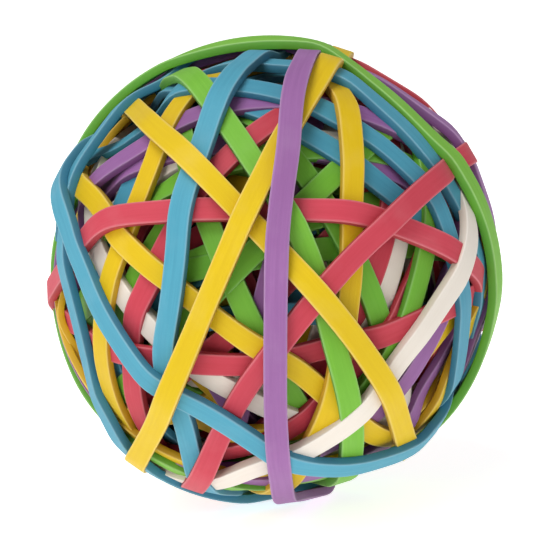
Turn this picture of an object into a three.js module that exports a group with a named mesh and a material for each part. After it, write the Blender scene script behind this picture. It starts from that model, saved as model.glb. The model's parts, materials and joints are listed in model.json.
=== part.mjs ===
// A rubber band ball: flat bands stretched one after another round a tight heart of older bands.
// Each band is a closed loop pulled taut over whatever lies under it.
import * as THREE from 'three';
import { mergeVertices } from 'three/addons/utils/BufferGeometryUtils.js';

// Driving dimensions, in mm.
const bandWidth = 3.1;
const bandThickness = 1.2;     // of the outer bands
const pressedThickness = 0.6;  // of the inner ones, which are stretched and pressed thin
const heartRadius = 13.5;
const heartStretch = [1.05, 1.5, 1];  // the heart is longer from front to back than it is wide
const bandGap = 0.06;         // clearance between a band and what it lies on
const cornerSlack = 0.2;      // how far a corner may be cut short when small bends are joined
const heartFacets = 3;        // subdivisions of the heart's twenty faces
const middleRadius = 29;      // of a typical band, for how much an off-centre one leans
const loopSteps = 72;         // directions in which a loop's clearance is worked out
const fewestCorners = 8;      // a loop is never made simpler than this
const edgeStep = 0.8;         // spacing of the points tried along the edges of what lies below
const pressedDip = 1.6;       // dips left in the inner bands, pressed in by those wound over them
const tautBands = 14;         // the last bands, which nothing presses in: these have no dips

// The way from the ball's centre to the flat spot that it lies on.
const restingSpot = new THREE.Vector3(0.054, 0.033, -0.998);

const rubberColours = {
  yellow: 0xe9c81e,
  blue: 0x4f9dbb,
  green: 0x66a83c,
  red: 0xc94f63,
  purple: 0x9f73ab,
  white: 0xe6dccf,
};
const heartColour = 0x7a6a4a;

// The bands in the order they were wound on, the innermost first. Each row gives the band's name, its
// colour, the direction of the axle it turns about (degrees round Z, then degrees above level) and how
// far the loop sits along that axle from the ball's centre, in mm.
const windings = [
  ['deep_green_slant', 'green', 25, 16, 0],
  ['deep_red_slant', 'red', 134, 49, 0],
  ['deep_blue_tilt', 'blue', 144, 60, 0],
  ['deep_green_cross', 'green', 160, 43, 0],
  ['deep_white_back', 'white', 70, 20, -2],
  ['deep_purple_back', 'purple', -30, 15, 2],
  ['deep_blue_level', 'blue', 100, 75, -8],
  ['deep_white_steep', 'white', -132, 15, 0],
  ['deep_green_rear', 'green', 60, 62, 7],
  ['red_inner_ring', 'red', 61, 11, 1],
  ['red_inner_top', 'red', 178, 47, 0],
  ['green_shelf', 'green', 135, 62, 0],
  ['green_slip', 'green', 112, 68, -3],
  ['purple_inner', 'purple', 176, 14, -1],
  ['white_left', 'white', -45, 52, 0],
  ['white_inner_right', 'white', -147, 24, 0],
  ['red_inner_right', 'red', -154, 27, 0],
  ['green_inner_left', 'green', 137, 25, 0],
  ['white_upper_left', 'white', 96, 41, 0],
  ['blue_far_ring', 'blue', -59, 1, 2],
  ['purple_under_shoulder', 'purple', 84, 50, 3],
  ['green_upper_bar', 'green', 106, 46, 0],
  ['green_short_right', 'green', 29, 22, 0],
  ['green_inner_slant', 'green', -7, 25, 0],
  ['green_high_right', 'green', 167, 44, 2],
  ['white_low_arc', 'white', -46, 49, 0],
  ['white_low_right', 'white', -116, 18, 0],
  ['yellow_low_arc', 'yellow', -109, 43, 0],
  ['red_low_left', 'red', -145, 38, -2],
  ['blue_rear_tilt', 'blue', 35, 50, 12],
  ['red_upper_arc', 'red', 138, 22, -2],
  ['purple_shoulder', 'purple', 94, 33, 1],
  ['green_right_arc', 'green', -139, 26, 0],
  ['purple_low_right', 'purple', -123, 31, 0],
  ['red_level', 'red', -128, 79, -3],
  ['yellow_left_arc', 'yellow', 141, 10, 5],
  ['blue_left_limb', 'blue', -86, 9, -7],
  ['yellow_left_limb', 'yellow', -86, 12, -2],
  ['yellow_bottom_limb', 'yellow', -92, 38, -4],
  ['purple_bottom_limb', 'purple', -100, 28, 0],
  ['yellow_slant', 'yellow', -4, 53, -4],
  ['yellow_right_limb', 'yellow', -101, 19, -1],
  ['blue_inner_shoulder', 'blue', 67, 18, -3],
  ['green_bottom_limb', 'green', -84, 28, -3],
  ['yellow_upright', 'yellow', -161, 9, -1],
  ['red_high_arc', 'red', 84, 60, -2],
  ['blue_shoulder', 'blue', 61, 19, 6],
  ['green_slant', 'green', 20, 19, -3],
  ['white_right_arc', 'white', -141, 39, -3],
  ['red_rear_ring', 'red', -93, 7, -10],
  ['blue_upright', 'blue', 157, 4, 1],
  ['purple_right_limb', 'purple', -106, -3, -6],
  ['red_slant', 'red', 167, 37, -9],
  ['yellow_cross_falling', 'yellow', 16, 37, -1],
  ['blue_left_ring', 'blue', -62, 14, -7],
  ['blue_low_sweep', 'blue', -47, 49, -3],
  ['yellow_cross_rising', 'yellow', 171, 24, 4],
  ['purple_upright', 'purple', 175, 2, -4],
  ['green_outer_ring', 'green', 75, 5, -1],
];

const degrees = Math.PI / 180;

function rubber(colour) {
  return new THREE.MeshStandardMaterial({ color: colour, roughness: 0.7, metalness: 0 });
}

// The frame of a loop: x and y lie in its plane, z runs along its axle.
function loopFrame(round, rise, shift) {
  const axle = new THREE.Vector3(
    Math.cos(rise * degrees) * Math.cos(round * degrees),
    Math.cos(rise * degrees) * Math.sin(round * degrees),
    Math.sin(rise * degrees),
  );
  const level = new THREE.Vector3(-Math.sin(round * degrees), Math.cos(round * degrees), 0);
  const up = new THREE.Vector3().crossVectors(axle, level);
  const frame = new THREE.Matrix4().makeBasis(level, up, axle);
  return frame.setPosition(axle.multiplyScalar(shift));
}

// The part of a triangle on one side of the plane z = limit: the lower side, or the upper one.
function keepSide(corners, limit, lower) {
  const inside = (point) => (lower ? point.z <= limit : point.z >= limit);
  return corners.flatMap((point, i) => {
    const next = corners[(i + 1) % corners.length];
    const kept = inside(point) ? [point] : [];
    if (inside(point) !== inside(next)) {
      kept.push(point.clone().lerp(next, (limit - point.z) / (next.z - point.z)));
    }
    return kept;
  });
}

// Points along the edges of what a solid has between the planes z = -half and z = half.
function pointsInSlab(solid, toLoop, half) {
  const points = solid.points.map((point) => point.clone().applyMatrix4(toLoop));
  return solid.faces.flatMap((face) => {
    const triangle = face.map((i) => points[i]);
    if (triangle.every((point) => point.z > half) || triangle.every((point) => point.z < -half)) return [];
    const corners = keepSide(keepSide(triangle, half, true), -half, false);
    return corners.flatMap((start, i) => {
      const end = corners[(i + 1) % corners.length];
      const steps = Math.ceil(start.distanceTo(end) / edgeStep);
      return Array.from({ length: steps }, (_, k) => start.clone().lerp(end, k / steps));
    });
  });
}

// How far out the loop has to pass in each direction to clear the points, as corners of a polygon.
function clearingOutline(points) {
  const step = (2 * Math.PI) / loopSteps;
  const radii = new Array(loopSteps).fill(heartRadius / 2);
  for (const point of points) {
    const first = Math.floor(((point.angle() / step) + loopSteps) % loopSteps);
    const radius = point.length() / Math.cos(step / 2);
    for (const i of [first, (first + 1) % loopSteps]) radii[i] = Math.max(radii[i], radius);
  }
  return radii.map((radius, i) => (
    new THREE.Vector2(Math.cos(i * step), Math.sin(i * step)).multiplyScalar(radius + bandGap)));
}

const turn = (a, b, c) => (b.x - a.x) * (c.y - a.y) - (b.y - a.y) * (c.x - a.x);

// Pulls the loop straight over its dips, the shallowest first, down to dips of the given depth.
function pullTaut(outline, depth) {
  const loop = [...outline];
  while (loop.length > fewestCorners) {
    const dips = loop.map((point, i) => {
      const before = loop.at(i - 1);
      const after = loop[(i + 1) % loop.length];
      return turn(before, after, point) / before.distanceTo(after);
    });
    const shallow = Math.min(...dips.map((dip) => (dip < -1e-9 ? Infinity : dip)));
    if (shallow >= depth) break;
    loop.splice(dips.indexOf(shallow), 1);
  }
  return loop;
}

// Where the line through a and b meets the line through c and d.
function meet(a, b, c, d) {
  const cross = (b.x - a.x) * (d.y - c.y) - (b.y - a.y) * (d.x - c.x);
  const t = ((c.x - a.x) * (d.y - c.y) - (c.y - a.y) * (d.x - c.x)) / cross;
  return new THREE.Vector2(a.x + t * (b.x - a.x), a.y + t * (b.y - a.y));
}

// Joins the smallest outward bends of a loop, always outwards, until each one left matters.
function joinSmallBends(outline) {
  const loop = [...outline];
  while (loop.length > fewestCorners) {
    let best = { rise: cornerSlack };
    loop.forEach((start, i) => {
      const end = loop[(i + 1) % loop.length];
      const before = loop.at(i - 1);
      const after = loop[(i + 2) % loop.length];
      if (turn(before, start, end) <= 0 || turn(start, end, after) <= 0) return;
      const corner = meet(before, start, after, end);
      const rise = -turn(start, end, corner) / start.distanceTo(end);
      if (rise > 0 && rise < best.rise) best = { i, corner, rise };
    });
    if (!best.corner) break;
    loop[best.i] = best.corner;
    loop.splice((best.i + 1) % loop.length, 1);
  }
  return loop;
}

// The points and faces that later bands are pulled over.
function asSolid(geometry) {
  const shape = new THREE.BufferGeometry();
  shape.setAttribute('position', geometry.getAttribute('position').clone());
  shape.setIndex(geometry.index);
  const merged = mergeVertices(shape, 1e-5);
  const position = merged.getAttribute('position');
  const points = Array.from({ length: position.count }, (_, i) => (
    new THREE.Vector3().fromBufferAttribute(position, i)));
  const index = Array.from(merged.index.array);
  const faces = Array.from({ length: index.length / 3 }, (_, i) => index.slice(3 * i, 3 * i + 3));
  return { points, faces };
}

// One band pulled over the solids below it. Off the ball's middle the loop leans, so that it lies
// flat on the ball: its outline shrinks along the axle at the rate `lean`.
function band(round, rise, shift, pressed, below) {
  const frame = loopFrame(round, rise, shift);
  const toLoop = frame.clone().invert();
  const half = bandWidth / 2;
  const lean = shift / (middleRadius ** 2 - shift ** 2);
  const touching = below.flatMap((solid) => pointsInSlab(solid, toLoop, half + bandGap))
    .map((point) => new THREE.Vector2(point.x, point.y).divideScalar(1 - lean * point.z));
  const inner = joinSmallBends(pullTaut(clearingOutline(touching), pressed ? pressedDip : Infinity));
  const thickness = pressed ? pressedThickness : bandThickness;
  const outer = inner.map((point) => point.clone().setLength(point.length() + thickness));
  const section = new THREE.Shape(outer);
  section.holes.push(new THREE.Path(inner));
  const geometry = new THREE.ExtrudeGeometry(section, { depth: bandWidth, bevelEnabled: false });
  geometry.translate(0, 0, -half);
  const position = geometry.getAttribute('position');
  for (let i = 0; i < position.count; i += 1) {
    const scale = 1 - lean * position.getZ(i);
    position.setXY(i, position.getX(i) * scale, position.getY(i) * scale);
  }
  geometry.applyMatrix4(frame);
  geometry.computeVertexNormals();
  return geometry;
}

const ball = new THREE.Group();
ball.name = 'rubber_band_ball';

const heart = new THREE.IcosahedronGeometry(heartRadius, heartFacets).scale(...heartStretch);
const heartMesh = new THREE.Mesh(heart, rubber(heartColour));
heartMesh.name = 'wound_heart';
ball.add(heartMesh);

const wound = [asSolid(heart)];
for (const [i, [name, colour, round, rise, shift]] of windings.entries()) {
  const pressed = i < windings.length - tautBands;
  const geometry = band(round, rise, shift, pressed, wound);
  wound.push(asSolid(geometry));
  const mesh = new THREE.Mesh(geometry, rubber(rubberColours[colour]));
  mesh.name = `band_${name}`;
  ball.add(mesh);
}

// The ball lies on the flat spot that three outer bands make on its underside, with its lowest point
// at height 0 under the middle of its outline.
ball.quaternion.setFromUnitVectors(restingSpot.normalize(), new THREE.Vector3(0, 0, -1));
ball.updateMatrixWorld(true);
const outline = new THREE.Box3().setFromObject(ball, true);
const middle = outline.getCenter(new THREE.Vector3());
ball.position.set(-middle.x, -middle.y, -outline.min.z);

export default ball;
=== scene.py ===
import json
import math

import bmesh
import bpy
import numpy as np
from bpy.props import FloatProperty, FloatVectorProperty, IntProperty, PointerProperty
from mathutils import Matrix, Vector


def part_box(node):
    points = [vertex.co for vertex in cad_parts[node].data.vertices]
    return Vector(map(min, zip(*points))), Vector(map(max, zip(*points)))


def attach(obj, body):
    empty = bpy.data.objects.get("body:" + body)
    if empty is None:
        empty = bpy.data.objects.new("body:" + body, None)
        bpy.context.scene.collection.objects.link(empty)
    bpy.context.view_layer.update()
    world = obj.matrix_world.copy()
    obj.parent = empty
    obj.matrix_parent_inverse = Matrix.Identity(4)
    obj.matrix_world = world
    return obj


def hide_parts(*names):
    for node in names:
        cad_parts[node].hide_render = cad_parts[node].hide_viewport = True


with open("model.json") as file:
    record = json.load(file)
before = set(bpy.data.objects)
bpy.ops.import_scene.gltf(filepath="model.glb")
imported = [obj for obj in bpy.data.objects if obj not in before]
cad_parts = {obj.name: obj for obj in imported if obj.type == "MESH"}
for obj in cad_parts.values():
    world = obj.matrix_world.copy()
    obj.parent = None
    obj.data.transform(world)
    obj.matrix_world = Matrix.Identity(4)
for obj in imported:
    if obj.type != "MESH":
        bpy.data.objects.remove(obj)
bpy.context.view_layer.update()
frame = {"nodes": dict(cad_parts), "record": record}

bl_info = {
    "name": "Rubber Band Ball",
    "version": (1, 0, 0),
    "blender": (4, 5, 0),
    "location": "View3D > Sidebar > Band Ball",
    "description": "Winds flat rubber bands round a ball, each one pulled taut over those below it",
    "category": "Add Mesh",
}

MM = 0.001
FLOOR_HEIGHT = 0
GOLDEN_ANGLE = math.pi * (3 - math.sqrt(5))   # turned by it again and again, points spread evenly
HEART_NODE = "wound_heart"
BAND_NODES = [row["node"] for row in frame["record"]["subparts"] if row["node"] != HEART_NODE]
SLOT_OF_NODE = {row["node"]: row["material_slot"] for row in frame["record"]["subparts"]}

# How a band bends sideways off its plane, as (degrees round the loop, mm along the axle) pairs,
# given one by one. A loop's zero is its point nearest the front; between two pairs a band eases from one to
# the other.
DRIFTS = {
    "band_purple_upright": ((-79, 0.7), (-66, -0.1), (-55, -0.5), (-42, 0), (-30, -0.5), (-19, -0.8),
                            (0, -0.4), (30, -0.2), (50, 0.2), (66, 0), (76, 1.0), (84, 3.0), (92, 4.6),
                            (110, 5.0), (180, 2.0)),
    "band_yellow_cross_falling": ((-95, 0.4), (-65, -1.1), (-41, -0.9), (-19, -0.3), (2, 0.3),
                                  (15, 0.7), (33, 0.5), (47, -0.2), (56, -1.0), (90, 0)),
    "band_yellow_cross_rising": ((-65, 0.2), (-42, -0.2), (-26, 0.2), (0, 0.1), (15, 0.4), (26, 0.8),
                                 (37, 0.6), (49, -0.1), (70, -1.1)),
    "band_blue_upright": ((-84, -1.6), (-65, -0.7), (-44, -0.1), (-26, -0.4), (-12, -0.1), (4, -0.6),
                          (15, -1.5), (31, 0.1), (47, 0)),
    "band_blue_low_sweep": ((-90, 2.0), (-75, 2.8), (-60, 3.6), (-45, 2.4), (-30, 0.6), (-17, 0.1), (-2, 1.0),
                            (11, 0.2), (31, -1.1), (42, -0.1), (53, 1.0), (72, 2.8),
                            (95, 3.5), (150, 1)),
    "band_red_slant": ((-74, 2.6), (-49, 1.7), (-28, 0.8), (-14, 0.3), (1, 0.5), (12, 0.3), (23, 0.8),
                       (45, 1.8), (60, 2.1), (77, 1.4)),
    "band_red_high_arc": ((-61, -1.7), (-51, 0.2), (-41, 0.2), (-24, -0.5), (0, -0.3), (22, 0.4),
                          (43, -0.3), (53, -1.1)),
    "band_yellow_upright": ((-67, -0.2), (-46, -0.5), (-28, -0.8), (-12, -0.4), (10, 0.1)),
    "band_white_right_arc": ((-59, 1.0), (-47, 1.8), (-33, 1.0), (-15, 0.3), (-3, 1.2), (8, 1.2),
                             (18, 0.7), (37, 0.7), (49, 1.9), (62, 3.0), (72, 1)),
    "band_green_slant": ((-82, -0.1), (-54, -0.8), (-35, -0.7), (-17, 0.4), (-6, 0.4), (13, -0.7),
                         (28, -0.5), (45, -0.8)),
    "band_yellow_left_arc": ((-51, -1.8), (-41, -0.2), (-19, 1.6), (0, 1.0), (19, 0.1), (50, 0)),
    "band_yellow_slant": ((-78, -1.1), (-65, -0.1), (-37, -0.9), (-15, -0.6), (1, -0.3), (12, 1.0),
                          (25, -0.3), (43, -1.6), (50, -2.4), (80, 0)),
    "band_purple_shoulder": ((-50, 1.0), (-41, -0.4), (-29, -1.2), (-15, 0.7), (2, 0.4)),
    "band_red_upper_arc": ((-48, 0.7), (-28, 0.5), (0, 0.5), (13, 0.8), (23, 0.3), (40, 1.0), (51, 2.0)),
    "band_red_level": ((-61, 0.2), (-35, 1.2), (-20, 0.5), (-9, -0.5), (11, 0), (40, 1.3), (62, 0.4),
                       (84, -1.4)),
    "band_white_low_arc": ((-24, 1.2), (-8, 0.5), (3, 1.1), (15, 0.5)),
    "band_yellow_low_arc": ((-45, 1.2), (-17, 2.6), (20, 1)),
    "band_blue_inner_shoulder": ((-53, -1.4), (-31, -1.0), (-16, 0.6), (4, 0.9), (14, -0.8), (32, -1.8),
                                 (51, -1.1), (62, 0.5)),
    "band_blue_left_ring": ((225, 1.5), (240, 2.8), (255, 2.8), (270, 2.0), (290, 2.0), (305, 3.0),
                            (320, 4.0), (345, 4.2), (0, 3.2), (15, 1.6), (30, 0), (140, 0), (165, -0.8),
                            (190, -1.2), (210, 0)),
    "band_yellow_right_limb": ((-150, 0), (-125, 4.0), (-100, 4.0), (-88, 2.5), (-72, 0), (-60, -1.5),
                               (-45, -2.0), (-20, 0)),
    "band_red_rear_ring": ((200, 0), (218, -3.0), (233, -5.5), (246, -4.0), (262, 0)),
    "band_green_bottom_limb": ((-110, -1.0), (-90, -5.0), (-75, -7.0), (-58, -7.0), (-42, -4.0), (-25, 0),
                               (90, 0)),
    "band_purple_right_limb": ((-30, 0), (-15, -0.5), (0, -3.0), (20, -4.0), (45, -3.0), (70, 0)),
    "band_green_outer_ring": ((-135, 3.0), (-120, 4.0), (-100, 5.0), (-88, 5.5), (-76, 6.0), (-62, 5.0),
                              (-48, 1.5), (-30, -0.6), (-15, -0.3), (0, 0.8), (20, 1.2), (45, 2.5),
                              (60, 4.5), (75, 6.5), (100, 8.0), (150, 8.0), (180, 6.8), (205, 4.0)),
}

# An outer ring that follows the ball's rise and fall over some degrees instead of bridging it all,
# and the radius in mm that it is stretched down to.
FOLLOWING = {"band_green_outer_ring": (24, 31.7)}

# How a band lies on what is below it.
INNER_PRESS = 16         # degrees of a dip that an inner band bridges
HEART_PRESS = 12         # the same for the heart's old bands
TAUT = 180               # a taut band bridges every dip
INNER_THICKNESS = 0.8    # of an outer band's, because inner bands are pressed thin
HEART_THICKNESS = 0.7    # the same for the heart's old bands
STEEPEST_TILT = 0.36     # rise from one edge of a band to the other, as a part of its width
EDGE_REACH = 0.2         # how far past the middle an edge still feels a bump, as a part of the width

HEART_TURNS = 34         # loops of old bands that show on the heart, deep in the gaps
HEART_SHIFT = 0.3        # how far off the middle they may lie, as a part of the heart's radius
# Near-black brown of the heart's core ball: a painted shade for the deep gaps between the bands
GAP_SHADE_COLOUR = (0.1, 0.07, 0.03, 1.0)
SHADE_STEP = 0.06        # difference in depth of colour from one band to the next


def heart_centre():
    low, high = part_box(HEART_NODE)
    return (low + high) / 2


class BallSurface:
    """How far out from its centre the ball reaches, in many evenly spread directions."""

    def __init__(self, radius, count=160000):
        step = np.arange(count)
        rise = 1 - (2 * step + 1) / count
        level = np.sqrt(1 - rise * rise)
        turn = GOLDEN_ANGLE * step
        self.ways = np.stack([level * np.cos(turn), level * np.sin(turn), rise], 1)
        self.reach = np.full(count, radius)


def loop_axes(axle):
    """A loop's axle, and two directions in its plane: the one nearest the front, and square to that."""
    axle = np.asarray(axle, float)
    axle = axle / np.linalg.norm(axle)
    positive_side = np.array([1.0, 0.05, 0.5])
    if axle @ positive_side < 0:
        axle = -axle
    front = np.array([0.0, -1.0, 0.0])
    first = front - (front @ axle) * axle
    first /= np.linalg.norm(first)
    return axle, first, np.cross(axle, first)


def measure_band(node, centre):
    """The axle of a CAD ring and the shift of its plane from the ball's centre."""
    mesh = frame["nodes"][node].data
    points = np.zeros(len(mesh.vertices) * 3)
    mesh.vertices.foreach_get("co", points)
    points = np.unique(points.reshape(-1, 3).round(7), axis=0) - np.array(centre)
    spread = points - points.mean(0)
    flattest = np.linalg.svd(spread, full_matrices=False)[2][2]
    axle = loop_axes(flattest)[0]
    along = points @ axle
    return axle, (along.min() + along.max()) / 2


def running(values, span, pick):
    """The largest or smallest of the values within a span either side, round a closed loop."""
    shifted = [np.roll(values, k) for k in range(-span, span + 1)]
    return pick(shifted, axis=0)


def eased(values, span):
    """Values softened round a closed loop, with a bell-shaped weight."""
    if span < 1:
        return values
    total = np.zeros_like(values)
    weights = 0
    for k in range(-3 * span, 3 * span + 1):
        weight = math.exp(-0.5 * (k / span) ** 2)
        total += weight * np.roll(values, k)
        weights += weight
    return total / weights


def pulled_tight(radii):
    """The radii of a string pulled tight round a loop of bumps."""
    count = len(radii)
    turn = 2 * math.pi * np.arange(count) / count
    points = np.stack([radii * np.cos(turn), radii * np.sin(turn)], 1)
    order = sorted(range(count), key=lambda i: (points[i][0], points[i][1]))

    def chain(indices):
        kept = []
        for i in indices:
            while len(kept) > 1:
                a, b, c = points[kept[-2]], points[kept[-1]], points[i]
                if (b[0] - a[0]) * (c[1] - a[1]) - (b[1] - a[1]) * (c[0] - a[0]) > 0:
                    break
                kept.pop()
            kept.append(i)
        return kept[:-1]

    corners = chain(order) + chain(order[::-1])
    start = corners.index(min(corners))
    corners = corners[start:] + corners[:start]
    tight = radii.copy()
    for a, b in zip(corners, corners[1:] + [corners[0] + count]):
        end = points[b % count]
        along = end - points[a]
        for i in range(a + 1, b):
            way = np.array([math.cos(turn[i % count]), math.sin(turn[i % count])])
            cross = way[0] * along[1] - way[1] * along[0]
            tight[i % count] = (points[a][0] * along[1] - points[a][1] * along[0]) / cross
    return tight


def drift_round(pairs, count):
    """A band's sideways drift at even steps round its loop, in metres."""
    if not pairs:
        return np.zeros(count)
    turn = np.degrees(2 * math.pi * np.arange(count) / count)
    knots = sorted((angle % 360, shift) for angle, shift in pairs)
    before = (knots[-1][0] - 360, knots[-1][1])
    after = (knots[0][0] + 360, knots[0][1])
    angles, shifts = zip(before, *knots, after)
    ease = count // 60
    return eased(np.interp(turn, angles, shifts), ease) * MM


class Route:
    """The line that a band's middle follows round the ball, drifting a little off its plane."""

    def __init__(self, axle, shift, radius, steps, drift=()):
        self.axle, self.first, self.second = loop_axes(axle)
        self.radius, self.steps = radius, steps
        self.lean = np.arcsin((shift + drift_round(drift, steps)) / radius)

    def locate(self, ways):
        """For each direction from the centre, the nearest step of the route and how far beside it that is."""
        turn = np.arctan2(ways @ self.second, ways @ self.first) % (2 * math.pi)
        place = (turn / (2 * math.pi) * self.steps).astype(int) % self.steps
        return place, (np.arcsin(np.clip(ways @ self.axle, -1, 1)) - self.lean[place]) * self.radius

    def way(self, turn, lean):
        """The direction at an angle round the route and off its plane."""
        level = np.cos(turn)[:, None] * self.first + np.sin(turn)[:, None] * self.second
        return np.cos(lean)[:, None] * level + np.sin(lean)[:, None] * self.axle


class Loop:
    """One band on the ball: its route, and how high each of its two edges lies."""

    def __init__(self, surface, route, width, thickness, press, highest, pressing=None):
        self.route, self.width, self.thickness = route, width, thickness
        reach, steps = surface.reach, route.steps
        place, across = route.locate(surface.ways)
        under = np.abs(across) < width / 2
        place, across, below = place[under], across[under], reach[under]
        edges = []
        for side in (across < EDGE_REACH * width, across > -EDGE_REACH * width):
            bumps = np.full(steps, reach.min())
            np.maximum.at(bumps, place[side], np.minimum(below[side], highest))
            edges.append(self.settle(bumps, press))
        most = STEEPEST_TILT * width
        low, high = edges
        if pressing:
            turn = 2 * math.pi * np.arange(steps) / steps
            beside = pressing.locate(route.way(turn, route.lean))[1]
            dent = thickness * np.exp(-(beside / width) ** 2)
            low, high = low - dent, high - dent
        low = np.maximum(low, high - most)
        high = np.maximum(high, low - most)
        soften = max(1, round(steps / 150))     # about two degrees
        self.low, self.high = eased(low, soften), eased(high, soften)
        fraction = across / width + 0.5
        top = self.low[place] * (1 - fraction) + self.high[place] * fraction + thickness
        surface.reach[under] = np.maximum(below, top)

    def settle(self, bumps, press):
        """Pulls an edge over its bumps: all the way, or only over dips shorter than `press` degrees."""
        flat = np.cos(self.route.lean)
        if press >= TAUT:
            return pulled_tight(bumps * flat) / flat
        span = max(1, round(press / 360 * self.route.steps / 2))
        closed = running(running(bumps, span, np.max), span, np.min)
        return np.maximum(eased(closed, span // 2), eased(bumps, 1))

    def mesh(self, name, corner, depth=1.0):
        """The band itself: a rounded section spun once round the axle and moved on to the route."""
        half = self.width / 2
        section = bmesh.new()
        bmesh.ops.create_grid(section, x_segments=1, y_segments=1, size=0.5)
        for vertex in section.verts:
            vertex.co = Vector((1 + (vertex.co.y + 0.5) * self.thickness, 0, vertex.co.x * self.width))
        bmesh.ops.bevel(
            section, geom=list(section.verts), offset=corner, offset_type="OFFSET",
            segments=2, profile=0.5, affect="VERTICES", material=-1,
        )
        long_edges = [e for e in section.edges if abs(e.verts[0].co.z - e.verts[1].co.z) > half]
        for edge in long_edges:
            ends = sorted(edge.verts, key=lambda v: v.co.z)
            inset = 2 * corner / (ends[1].co.z - ends[0].co.z)
            new_edge, middle = bmesh.utils.edge_split(edge, ends[0], inset)
            rest = [e for e in middle.link_edges if ends[1] in e.verts][0]
            bmesh.utils.edge_split(rest, ends[1], inset / (1 - inset))
        bmesh.ops.delete(section, geom=list(section.faces), context="FACES_ONLY")
        bmesh.ops.spin(
            section, geom=list(section.edges), cent=(0, 0, 0), axis=(0, 0, 1), dvec=(0, 0, 0),
            angle=2 * math.pi, steps=self.route.steps, use_merge=True, use_duplicate=False,
        )
        bmesh.ops.remove_doubles(section, verts=list(section.verts), dist=1e-7)
        bmesh.ops.recalc_face_normals(section, faces=list(section.faces))
        mesh = bpy.data.meshes.new(name)
        section.to_mesh(mesh)
        section.free()
        self.lay(mesh, corner)
        # The depth attribute darkens inner bands in the material, a painted shade for the deep gaps
        note = mesh.attributes.new("depth", "FLOAT", "POINT")
        note.data.foreach_set("value", np.full(len(mesh.vertices), depth))
        return mesh

    def lay(self, mesh, corner):
        """Moves a spun ring's points on to the route, and notes where on the band each one is."""
        count = len(mesh.vertices)
        points = np.zeros(count * 3)
        mesh.vertices.foreach_get("co", points)
        points = points.reshape(-1, 3)
        turn = np.arctan2(points[:, 1], points[:, 0]) % (2 * math.pi)
        depth = np.hypot(points[:, 0], points[:, 1]) - 1
        across = points[:, 2]
        route = self.route
        place = np.rint(turn / (2 * math.pi) * route.steps).astype(int) % route.steps
        fraction = across / self.width + 0.5
        radius = self.low[place] * (1 - fraction) + self.high[place] * fraction + depth
        laid = radius[:, None] * route.way(turn, route.lean[place] + across / route.radius)
        laid += np.array(heart_centre())
        laid[:, 2] = np.maximum(laid[:, 2], FLOOR_HEIGHT)
        mesh.vertices.foreach_set("co", laid.ravel())
        where = np.stack([route.radius * np.cos(turn), route.radius * np.sin(turn), across], 1)
        note = mesh.attributes.new("band_place", "FLOAT_VECTOR", "POINT")
        note.data.foreach_set("vector", where.ravel())
        # Near a cut edge: used in the material for a painted highlight along the edge
        edge = np.clip(1 - (self.width / 2 - np.abs(across)) / (2 * corner), 0, 1)
        top = np.clip(depth / self.thickness, 0, 1)
        for label, values in (("edge", edge), ("top", top)):
            note = mesh.attributes.new(label, "FLOAT", "POINT")
            note.data.foreach_set("value", values)
        mesh.shade_smooth()
        mesh.update()


def add_piece(name, mesh, material, node):
    piece = bpy.data.objects.new(name, mesh)
    bpy.context.scene.collection.objects.link(piece)
    mesh.materials.clear()
    mesh.materials.append(material)
    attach(piece, "root")
    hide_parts(node)
    return piece


# Patterns a metre, along the band, through it and across it.
STREAK_DENSITY = (90, 90, 2600)
BLOOM_DENSITY = (160, 160, 240)
GRAIN_DENSITY = (2500, 2500, 5200)
RELIEF = 0.12 * MM      # depth of the streaks and grain


class Finish:
    """A material being put together node by node."""

    def __init__(self, name):
        self.material = bpy.data.materials.new(name)
        self.material.use_nodes = True
        self.tree = self.material.node_tree
        self.shader = self.tree.nodes["Principled BSDF"]

    def node(self, kind, **values):
        made = self.tree.nodes.new(kind)
        for key, value in values.items():
            setattr(made, key, value)
        return made

    def link(self, source, target):
        self.tree.links.new(source, target)

    def attribute(self, name, output="Fac"):
        return self.node("ShaderNodeAttribute", attribute_name=name).outputs[output]

    def noise(self, vector, scale, stretch=(1, 1, 1), detail=3.0, roughness=0.55):
        mapping = self.node("ShaderNodeMapping")
        mapping.inputs["Scale"].default_value = stretch
        self.link(vector, mapping.inputs["Vector"])
        made = self.node("ShaderNodeTexNoise")
        made.inputs["Scale"].default_value = scale
        made.inputs["Detail"].default_value = detail
        made.inputs["Roughness"].default_value = roughness
        self.link(mapping.outputs["Vector"], made.inputs["Vector"])
        return made.outputs["Fac"]

    def ramp(self, value, low, high, start=0.0, end=1.0):
        made = self.node("ShaderNodeMapRange", clamp=True)
        made.inputs["From Min"].default_value = low
        made.inputs["From Max"].default_value = high
        made.inputs["To Min"].default_value = start
        made.inputs["To Max"].default_value = end
        self.link(value, made.inputs["Value"])
        return made.outputs["Result"]

    def mix(self, factor, first, second, blend="MIX"):
        made = self.node("ShaderNodeMix", data_type="RGBA", blend_type=blend)
        sockets = {"Factor": made.inputs[0], "A": made.inputs[6], "B": made.inputs[7]}
        for key, value in zip(("Factor", "A", "B"), (factor, first, second)):
            if hasattr(value, "is_linked"):
                self.link(value, sockets[key])
            elif key == "Factor":
                sockets[key].default_value = value
            else:
                sockets[key].default_value = (*value, 1.0)
        return made.outputs[2]

    def math(self, operation, first, second):
        made = self.node("ShaderNodeMath", operation=operation)
        for socket, value in zip(made.inputs, (first, second)):
            if hasattr(value, "is_linked"):
                self.link(value, socket)
            else:
                socket.default_value = value
        return made.outputs[0]


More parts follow.
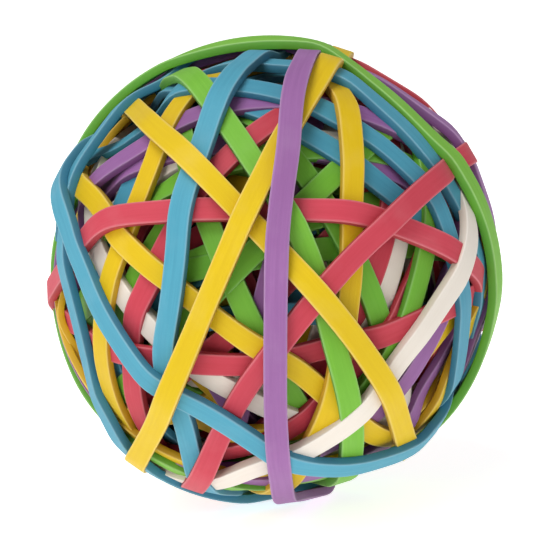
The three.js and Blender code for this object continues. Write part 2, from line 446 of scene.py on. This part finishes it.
def cut_rubber(name, colour=None):
    """Matte cut rubber: fine streaks along the band, a faint pale bloom, paler edges that are a painted
    highlight, darker cut sides that are painted shade with a more saturated cut colour, and painted shade
    deepening on the inner bands.

    Without a colour of its own it takes the piece's tint attribute.
    """
    finish = Finish(name)
    place = finish.attribute("band_place", "Vector")
    streaks = finish.noise(place, 1.0, STREAK_DENSITY, detail=4.0)
    cloud = finish.noise(place, 1.0, BLOOM_DENSITY, detail=3.0)
    grain = finish.noise(place, 1.0, GRAIN_DENSITY, detail=2.0)
    body = colour if colour else finish.attribute("tint", "Color")
    # A deeper copy of the colour: the darker streaks, and the painted shade on sides and inner bands
    deep_tone_and_shade = finish.mix(0.75, body, body, "MULTIPLY")
    # A paler colour: the powdery bloom, and the painted highlight on the cut edges
    pale = finish.mix(0.3, body, (1.0, 1.0, 1.0))
    base = finish.mix(finish.ramp(streaks, 0.3, 0.7, 0.0, 0.25), body, deep_tone_and_shade)
    base = finish.mix(finish.ramp(cloud, 0.5, 0.8, 0.0, 0.12), base, pale)
    # Painted highlight: the outer face turns paler along its cut edges, where they would catch the light
    edge = finish.math("MULTIPLY", finish.attribute("edge"), finish.attribute("top"))
    base = finish.mix(finish.math("MULTIPLY", edge, 0.5), base, pale)
    # Painted shade: bands further in are darkened towards the deeper copy, standing in for the shade deep in
    # the gaps
    base = finish.mix(finish.ramp(finish.attribute("depth"), 0.0, 1.0, 0.0, 0.62), base, deep_tone_and_shade)
    # Painted shade on the cut sides and the underside, which also gives the cut surfaces a more saturated
    # colour
    side = finish.ramp(finish.attribute("top"), 0.8, 0.97, 0.8, 0.0)
    base = finish.mix(side, base, deep_tone_and_shade)
    finish.link(base, finish.shader.inputs["Base Color"])
    rough = finish.ramp(cloud, 0.3, 0.7, 0.52, 0.68)
    finish.link(rough, finish.shader.inputs["Roughness"])
    finish.shader.inputs["Sheen Weight"].default_value = 0.04
    finish.shader.inputs["Sheen Roughness"].default_value = 0.5
    finish.shader.inputs["Specular IOR Level"].default_value = 0.25
    relief = finish.math("ADD", finish.math("MULTIPLY", streaks, 0.6), finish.math("MULTIPLY", grain, 0.4))
    bump = finish.node("ShaderNodeBump")
    bump.inputs["Strength"].default_value = 0.35
    bump.inputs["Distance"].default_value = RELIEF
    finish.link(relief, bump.inputs["Height"])
    finish.link(bump.outputs["Normal"], finish.shader.inputs["Normal"])
    return finish.material


def colour_property(name, default):
    return FloatVectorProperty(
        name=name, subtype="COLOR", size=3, min=0, max=1, default=default,
        description=f"Colour of the {name.lower()} rubber",
    )


class BandSizes(bpy.types.PropertyGroup):
    width: FloatProperty(
        name="Band width", description="Width of a stretched band", default=3.1 * MM, unit="LENGTH")
    thickness: FloatProperty(
        name="Band thickness", description="Thickness of a stretched band", default=1.3 * MM, unit="LENGTH")
    corner: FloatProperty(
        name="Corner", description="Rounding of a cut edge", default=0.11 * MM, unit="LENGTH")
    heart_radius: FloatProperty(
        name="Heart radius", description="Size of the heart the first bands go round",
        default=22.5 * MM, unit="LENGTH")
    inner_level: FloatProperty(
        name="Inner level", description="Radius that the first separate band is pressed down to",
        default=25.0 * MM, unit="LENGTH")
    taut_level: FloatProperty(
        name="Taut level", description="Radius that the first taut band is pressed down to",
        default=30.4 * MM, unit="LENGTH")
    outer_level: FloatProperty(
        name="Outer level", description="Radius that the last band is pressed down to",
        default=32.7 * MM, unit="LENGTH")
    steps: IntProperty(
        name="Steps", description="Steps round one band", default=180, min=60, max=360)
    taut_bands: IntProperty(
        name="Taut bands", description="Outermost bands, which nothing presses in", default=16, min=0)


class RubberColours(bpy.types.PropertyGroup):
    yellow: colour_property("Yellow", (0.70, 0.49, 0.004))
    blue: colour_property("Blue", (0.078, 0.34, 0.46))
    green: colour_property("Green", (0.20, 0.49, 0.045))
    red: colour_property("Red", (0.585, 0.062, 0.095))
    purple: colour_property("Purple", (0.33, 0.142, 0.36))
    white: colour_property("White", (0.78, 0.72, 0.645))


class StageSettings(bpy.types.PropertyGroup):
    distance: FloatProperty(
        name="Camera distance", description="From the ball's centre", default=0.419, unit="LENGTH")
    azimuth: FloatProperty(
        name="Camera azimuth", description="Turn round the ball from the front",
        default=math.radians(0.6), subtype="ANGLE")
    elevation: FloatProperty(
        name="Camera elevation", description="Height of the view above level",
        default=math.radians(11.9), subtype="ANGLE")
    roll: FloatProperty(
        name="Camera roll", description="Turn of the view about its own line",
        default=math.radians(-3.2), subtype="ANGLE")
    field: FloatProperty(
        name="Field of view", description="Width of the view", default=math.radians(10.37), subtype="ANGLE")
    floor_colour: FloatVectorProperty(
        name="Floor", description="Colour of the floor", subtype="COLOR", size=3, min=0, max=1,
        default=(0.80, 0.80, 0.80))


work = {}   # what the heart leaves for the bands: the ball's surface so far


class HeartOperator(bpy.types.Operator):
    """Winds the heart: a ball of older bands, pressed tight"""
    bl_idname = "band_ball.heart"
    bl_label = "Wound heart"

    def execute(self, context):
        sizes = context.scene.band_sizes
        colours = context.scene.rubber_colours
        surface = BallSurface(sizes.heart_radius)
        work["surface"] = surface
        ball = bmesh.new()
        bmesh.ops.create_icosphere(
            ball, subdivisions=4, radius=sizes.heart_radius, matrix=Matrix.Translation(heart_centre()))
        shades = [colours.yellow, colours.blue, colours.green, colours.red, colours.purple, colours.white]
        # The core ball takes the painted gap shade; each old band takes one of the rubber colours
        tints = [np.tile(GAP_SHADE_COLOUR, (len(ball.verts), 1))]
        draw = np.random.default_rng(7)
        for i in range(HEART_TURNS):
            rise = 1 - (i + 0.5) / HEART_TURNS
            flat = math.sqrt(1 - rise * rise)
            turn = GOLDEN_ANGLE * i
            axle = (flat * math.cos(turn), flat * math.sin(turn), rise)
            shift = draw.uniform(-HEART_SHIFT, HEART_SHIFT) * sizes.heart_radius
            level = sizes.heart_radius + (sizes.inner_level - sizes.heart_radius) * i / HEART_TURNS
            route = Route(axle, shift, level, sizes.steps // 2)
            loop = Loop(surface, route, sizes.width, sizes.thickness * HEART_THICKNESS, HEART_PRESS, level)
            strip = loop.mesh("heart_turn", sizes.corner)
            tints.append(np.tile((*shades[i * 5 % len(shades)], 1.0), (len(strip.vertices), 1)))
            ball.from_mesh(strip)
            bpy.data.meshes.remove(strip)
        mesh = bpy.data.meshes.new("wound_heart_turns")
        ball.to_mesh(mesh)
        ball.free()
        tint = mesh.attributes.new("tint", "FLOAT_COLOR", "POINT")
        tint.data.foreach_set("color", np.concatenate(tints).ravel())
        mesh.shade_smooth()
        add_piece("heart_of_old_bands", mesh, cut_rubber("old_rubber"),
                  HEART_NODE)
        return {"FINISHED"}


class BandsOperator(bpy.types.Operator):
    """Winds the separate bands, one over another"""
    bl_idname = "band_ball.bands"
    bl_label = "Separate bands"

    def execute(self, context):
        sizes = context.scene.band_sizes
        colours = context.scene.rubber_colours
        surface = work["surface"]
        centre = heart_centre()
        finishes = {
            f"rubber_{name}": cut_rubber(f"{name}_rubber", tuple(getattr(colours, name)))
            for name in ("yellow", "blue", "green", "red", "purple", "white")
        }
        first_taut = len(BAND_NODES) - sizes.taut_bands
        last = BAND_NODES[-1]
        last_route = Route(*measure_band(last, centre), sizes.outer_level, sizes.steps, DRIFTS.get(last, ()))
        for i, node in enumerate(BAND_NODES):
            axle, shift = measure_band(node, centre)
            inner = i < first_taut
            thickness = sizes.thickness * (INNER_THICKNESS if inner else 1)
            level = np.interp(i, (0, first_taut, len(BAND_NODES)),
                              (sizes.inner_level, sizes.taut_level, sizes.outer_level))
            press = INNER_PRESS if inner else TAUT
            if node in FOLLOWING:
                press, level = FOLLOWING[node][0], FOLLOWING[node][1] * MM
            route = Route(axle, shift, level, sizes.steps, DRIFTS.get(node, ()))
            pressing = None if inner or node == last else last_route
            loop = Loop(surface, route, sizes.width, thickness, press, level, pressing)
            slot = SLOT_OF_NODE[node]
            # Larger for bands further in, for their painted shade, plus a small random step in tone from band
            # to band
            depth = 1 - i / len(BAND_NODES) + SHADE_STEP * (i * 7 % 5 - 2)
            add_piece(node.replace("band_", "rubber_"), loop.mesh(node, sizes.corner, depth),
                      finishes[slot], node)
        return {"FINISHED"}


def plain_floor(colour):
    finish = Finish("pale_floor")
    place = finish.node("ShaderNodeTexCoord").outputs["Object"]
    cloud = finish.noise(place, 6.0)
    near = tuple(0.985 * channel for channel in colour)
    finish.link(finish.mix(cloud, tuple(colour), near), finish.shader.inputs["Base Color"])
    finish.shader.inputs["Roughness"].default_value = 0.9
    finish.shader.inputs["Emission Color"].default_value = (1, 1, 1, 1)
    finish.shader.inputs["Emission Strength"].default_value = 0.75
    finish.shader.inputs["Specular IOR Level"].default_value = 0.1
    return finish.material


def soft_light(name, place, target, size, power):
    lamp = bpy.data.lights.new(name, "AREA")
    lamp.shape = "DISK"
    lamp.size = size
    lamp.energy = power
    light = bpy.data.objects.new(name, lamp)
    light.location = place
    light.rotation_euler = (Vector(target) - Vector(place)).to_track_quat("-Z", "Y").to_euler()
    bpy.context.scene.collection.objects.link(light)


class StageOperator(bpy.types.Operator):
    """Sets the pale floor, the soft lights and the camera"""
    bl_idname = "band_ball.stage"
    bl_label = "Stage"

    def execute(self, context):
        stage = context.scene.ball_stage
        centre = heart_centre()
        floor_mesh = bpy.data.meshes.new("floor")
        sheet = bmesh.new()
        bmesh.ops.create_grid(sheet, x_segments=4, y_segments=4, size=3.0)
        sheet.to_mesh(floor_mesh)
        sheet.free()
        floor = bpy.data.objects.new("floor", floor_mesh)
        floor_mesh.materials.append(plain_floor(stage.floor_colour))
        context.scene.collection.objects.link(floor)

        soft_light("top_light", (-0.35, -0.3, 1.0), centre, size=0.7, power=7.5)
        soft_light("front_light", (-0.6, -1.0, 0.55), centre, size=0.6, power=3.4)
        soft_light("right_light", (0.9, -0.6, 0.4), centre, size=0.7, power=1.2)
        world = bpy.data.worlds.new("studio")
        world.use_nodes = True
        sky = world.node_tree.nodes["Background"]
        sky.inputs["Color"].default_value = (1, 1, 1, 1)
        sky.inputs["Strength"].default_value = 0.3
        context.scene.world = world
        context.scene.view_settings.view_transform = "Standard"

        way = Vector((
            math.sin(stage.azimuth) * math.cos(stage.elevation),
            -math.cos(stage.azimuth) * math.cos(stage.elevation),
            math.sin(stage.elevation),
        ))
        lens = bpy.data.cameras.new("camera")
        lens.angle = stage.field
        lens.clip_start = 0.01
        camera = bpy.data.objects.new("camera", lens)
        camera.location = centre + stage.distance * way
        turn = (-way).to_track_quat("-Z", "Y")
        camera.rotation_euler = (turn.to_matrix() @ Matrix.Rotation(stage.roll, 3, "Z")).to_euler()
        context.scene.collection.objects.link(camera)
        context.scene.camera = camera
        return {"FINISHED"}


class BallPanel(bpy.types.Panel):
    """Sizes, colours and the steps that make the ball"""
    bl_idname = "VIEW3D_PT_band_ball"
    bl_label = "Band Ball"
    bl_space_type = "VIEW_3D"
    bl_region_type = "UI"
    bl_category = "Band Ball"

    def draw(self, context):
        for group in (context.scene.band_sizes, context.scene.rubber_colours, context.scene.ball_stage):
            for name in group.__annotations__:
                self.layout.prop(group, name)
        for step in STEPS:
            self.layout.operator(step.bl_idname)


STEPS = (HeartOperator, BandsOperator, StageOperator)
GROUPS = {"band_sizes": BandSizes, "rubber_colours": RubberColours, "ball_stage": StageSettings}


def register():
    for group in (*GROUPS.values(), *STEPS, BallPanel):
        bpy.utils.register_class(group)
    for name, group in GROUPS.items():
        setattr(bpy.types.Scene, name, PointerProperty(type=group))


def unregister():
    for name in GROUPS:
        delattr(bpy.types.Scene, name)
    for group in (BallPanel, *reversed(STEPS), *reversed(GROUPS.values())):
        bpy.utils.unregister_class(group)


def main():
    register()
    bpy.ops.band_ball.heart()
    bpy.ops.band_ball.bands()
    bpy.ops.band_ball.stage()
    bpy.context.view_layer.update()


if __name__ == "__main__":
    main()
